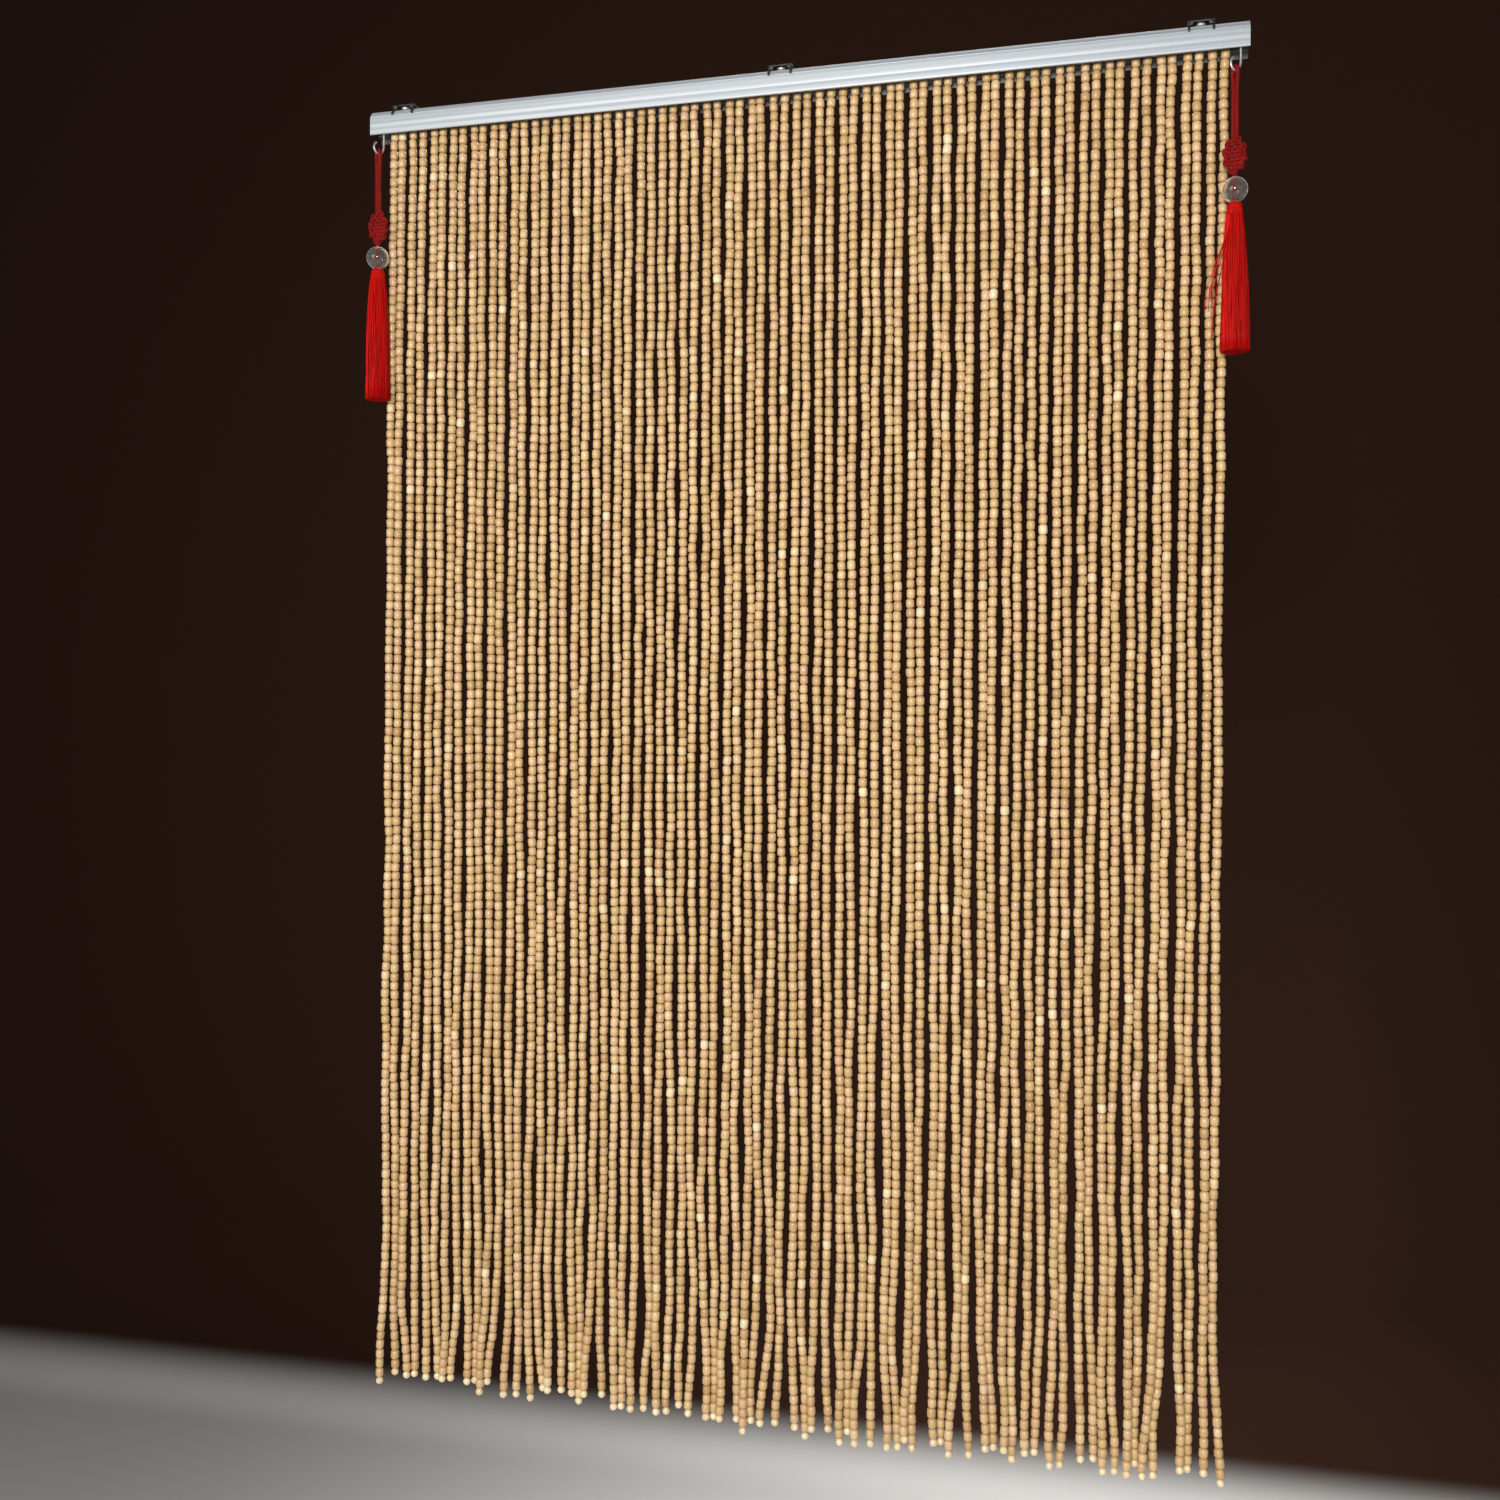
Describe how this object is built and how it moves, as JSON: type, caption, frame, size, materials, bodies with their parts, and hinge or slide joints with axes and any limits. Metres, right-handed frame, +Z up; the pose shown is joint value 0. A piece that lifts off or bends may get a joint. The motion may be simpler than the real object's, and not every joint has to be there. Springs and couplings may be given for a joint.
{
  "type": "bead door curtain on a head rail",
  "caption": "Door curtain of strung wooden beads hanging in paired strands from an aluminium head rail on spring clips, with a red knotted tassel hooked on at each end.",
  "frame": {"origin": "middle of the middle clip's top face, which lies against the underside of the door head", "axes": "+X along the rail to the right as seen from the room, -Y towards the room, +Z up"},
  "size_m": [0.8016, 0.0388, 1.2311],
  "materials": {
    "rail_aluminium": "pale brushed aluminium with fine lines along the rail",
    "bead_wood": "varnished light wooden beads, tan to honey, paler round bead at each strand's end",
    "clip_black": "black spring steel, satin",
    "bright_steel": "bright plated steel wire and screw heads",
    "red_cord": "braided red cord tied in a flat interlaced knot",
    "red_thread": "bright red rayon threads with a soft sheen",
    "clear_bead": "clear polished ball with a bore for the cord"
  },
  "bodies": {
    "root": {"rail": "rail_aluminium", "bead_strands": "bead_wood", "clip_left": "clip_black", "clip_middle": "clip_black", "clip_right": "clip_black", "screw_left": "bright_steel", "screw_middle": "bright_steel", "screw_right": "bright_steel", "hook_left": "bright_steel", "hook_right": "bright_steel", "knot_cord_left": "red_cord", "knot_cord_right": "red_cord", "clear_bead_left": "clear_bead", "clear_bead_right": "clear_bead", "tassel_left": "red_thread", "tassel_right": "red_thread"}
  },
  "joints": []
}
